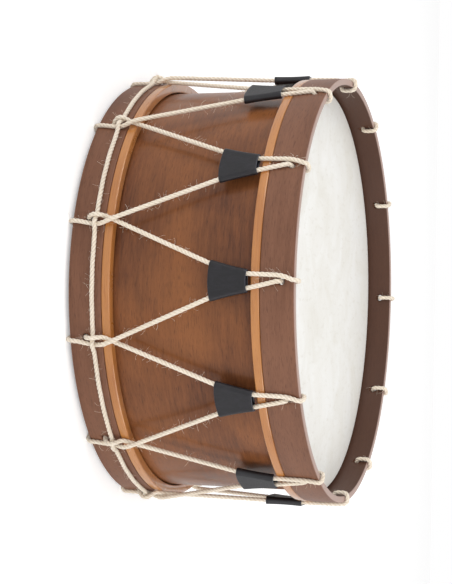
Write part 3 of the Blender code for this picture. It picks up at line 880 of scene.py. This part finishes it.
def tugMesh():
    # stations down the outside, round the lower rim, up the inside and round the upper rim
    inner = ropeRadius + tug["clearance"]
    outer = inner + tug["leather"]
    middle, half = (inner + outer) / 2, (outer - inner) / 2
    stations = []
    for row in range(leather["rows"] + 1):
        share = row / leather["rows"]
        stations.append((outer - leather["waist"] * math.sin(math.pi * share), share, 0.0, 0.0))
    for point in range(1, leather["rimPoints"]):
        angle = math.pi * point / leather["rimPoints"]
        stations.append((middle + half * math.cos(angle), 1.0, -half * math.sin(angle), math.sin(angle)))
    for row in range(leather["rows"] + 1):
        stations.append((inner, 1 - row / leather["rows"], 0.0, 0.0))
    for point in range(1, leather["rimPoints"]):
        angle = math.pi * point / leather["rimPoints"]
        stations.append((middle - half * math.cos(angle), 0.0, half * math.sin(angle), math.sin(angle)))
    halfRound = leather["around"] // 2
    roundShare = leather["roundShare"]
    points, rims = [], []
    for radius, share, rise, rim in stations:
        spread = (tug["topSpread"] * (1 - share) + tug["bottomSpread"] * share) / 2
        bulge = tug["dip"] * (1 - share) + tug["bulge"] * share
        for step in range(leather["around"]):
            side = 1 if step < halfRound else -1
            part = (step % halfRound) / halfRound
            # each half has a round end first and then a flat
            if part < roundShare:
                angle = math.pi / 2 - math.pi * part / roundShare
                right, out = spread + radius * math.cos(angle), radius * math.sin(angle)
            else:
                right, out = spread * (1 - 2 * (part - roundShare) / (1 - roundShare)), -radius
            right, out = side * right, side * out
            drop = bulge * (1 - (right / (spread + radius)) ** 2)
            up = -tug["length"] * share - drop + rise
            points.append(tugPoint(right, out, up))
            rims.append(rim)
    count = leather["around"]
    faces = []
    for row in range(len(stations)):
        here, there = row * count, (row + 1) % len(stations) * count
        for step in range(count):
            after = (step + 1) % count
            faces.append((here + step, here + after, there + after, there + step))
    mesh = bpy.data.meshes.new("tugLeather")
    mesh.from_pydata([tuple(point) for point in points], [], faces)
    # the rim attribute carries the painted bluish sheen of the rolled rims and their lower roughness
    values = mesh.attributes.new("rim", "FLOAT", "POINT")
    values.data.foreach_set("value", rims)
    shape = bmesh.new()
    shape.from_mesh(mesh)
    bmesh.ops.recalc_face_normals(shape, faces=shape.faces)
    shape.to_mesh(mesh)
    shape.free()
    mesh.shade_smooth()
    return mesh


def addTugs():
    base = tugMesh()
    for index in range(drum["loops"]):
        own = base.copy()
        own.transform(Matrix.Rotation(index * loopAngle, 4, "Z"))
        number = f"{index + 1:02d}"
        piece = addPiece(f"tugLeather_{number}", own, blackLeather)
        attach(piece, f"tug_{number}")
        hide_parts(f"tug_{number}")


addTugs()
print("tugs made")


# Studio
studio = {"floorSize": 4.4, "floorGlow": 0.38, "worldLight": 0.42,
          "lamps": [("leftSoftbox", (-1.9, -1.2, 1.3), 1.6, 22), ("rightSoftbox", (2.0, -1.0, 1.1), 1.6, 22),
                    ("frontFill", (0.2, -2.8, 1.7), 1.4, 15), ("topSoftbox", (0.0, 0.4, 2.4), 1.8, 17)]}


def addFloor():
    half = studio["floorSize"] / 2
    mesh = bpy.data.meshes.new("studioFloor")
    mesh.from_pydata([(-half, -half, 0), (half, -half, 0), (half, half, 0), (-half, half, 0)], [], [(0, 1, 2, 3)])
    finish = Finish("studioFloor")
    path = finish.node("ShaderNodeLightPath")
    glow = Wire(finish, path.outputs["Is Camera Ray"]) * studio["floorGlow"]
    shader = finish.node("ShaderNodeBsdfPrincipled", {}, {
        "Base Color": (0.93, 0.93, 0.93, 1.0), "Roughness": 0.9, "Emission Color": (1, 1, 1, 1),
        "Emission Strength": glow})
    ending = finish.node("ShaderNodeOutputMaterial")
    finish.tree.links.new(shader.outputs[0], ending.inputs[0])
    floor = addPiece("studioFloor", mesh, finish.material)


def addLights():
    for name, place, size, power in studio["lamps"]:
        data = bpy.data.lights.new(name, "AREA")
        data.shape = "DISK"
        data.size = size
        data.energy = power
        lamp = bpy.data.objects.new(name, data)
        bpy.context.scene.collection.objects.link(lamp)
        aim = Vector((0, 0, 0.14)) - Vector(place)
        lamp.matrix_world = Matrix.Translation(place) @ aim.to_track_quat("-Z", "Y").to_matrix().to_4x4()
    world = bpy.data.worlds.new("studioAir")
    bpy.context.scene.world = world
    world.use_nodes = True
    tree = world.node_tree
    tree.nodes.clear()
    path = tree.nodes.new("ShaderNodeLightPath")
    seen = tree.nodes.new("ShaderNodeMath")
    seen.operation = "MAXIMUM"
    tree.links.new(path.outputs["Is Camera Ray"], seen.inputs[0])
    tree.links.new(path.outputs["Is Transmission Ray"], seen.inputs[1])
    direct = tree.nodes.new("ShaderNodeMath")
    direct.operation = "MAXIMUM"
    tree.links.new(seen.outputs[0], direct.inputs[0])
    tree.links.new(path.outputs["Is Glossy Ray"], direct.inputs[1])
    level = tree.nodes.new("ShaderNodeMapRange")
    level.inputs[3].default_value = studio["worldLight"]
    level.inputs[4].default_value = 1.0
    tree.links.new(direct.outputs[0], level.inputs[0])
    background = tree.nodes.new("ShaderNodeBackground")
    background.inputs[0].default_value = (1, 1, 1, 1)
    tree.links.new(level.outputs[0], background.inputs[1])
    ending = tree.nodes.new("ShaderNodeOutputWorld")
    tree.links.new(background.outputs[0], ending.inputs[0])
    bpy.context.scene.view_settings.view_transform = "Standard"


addFloor()
addLights()
print("studio lit")
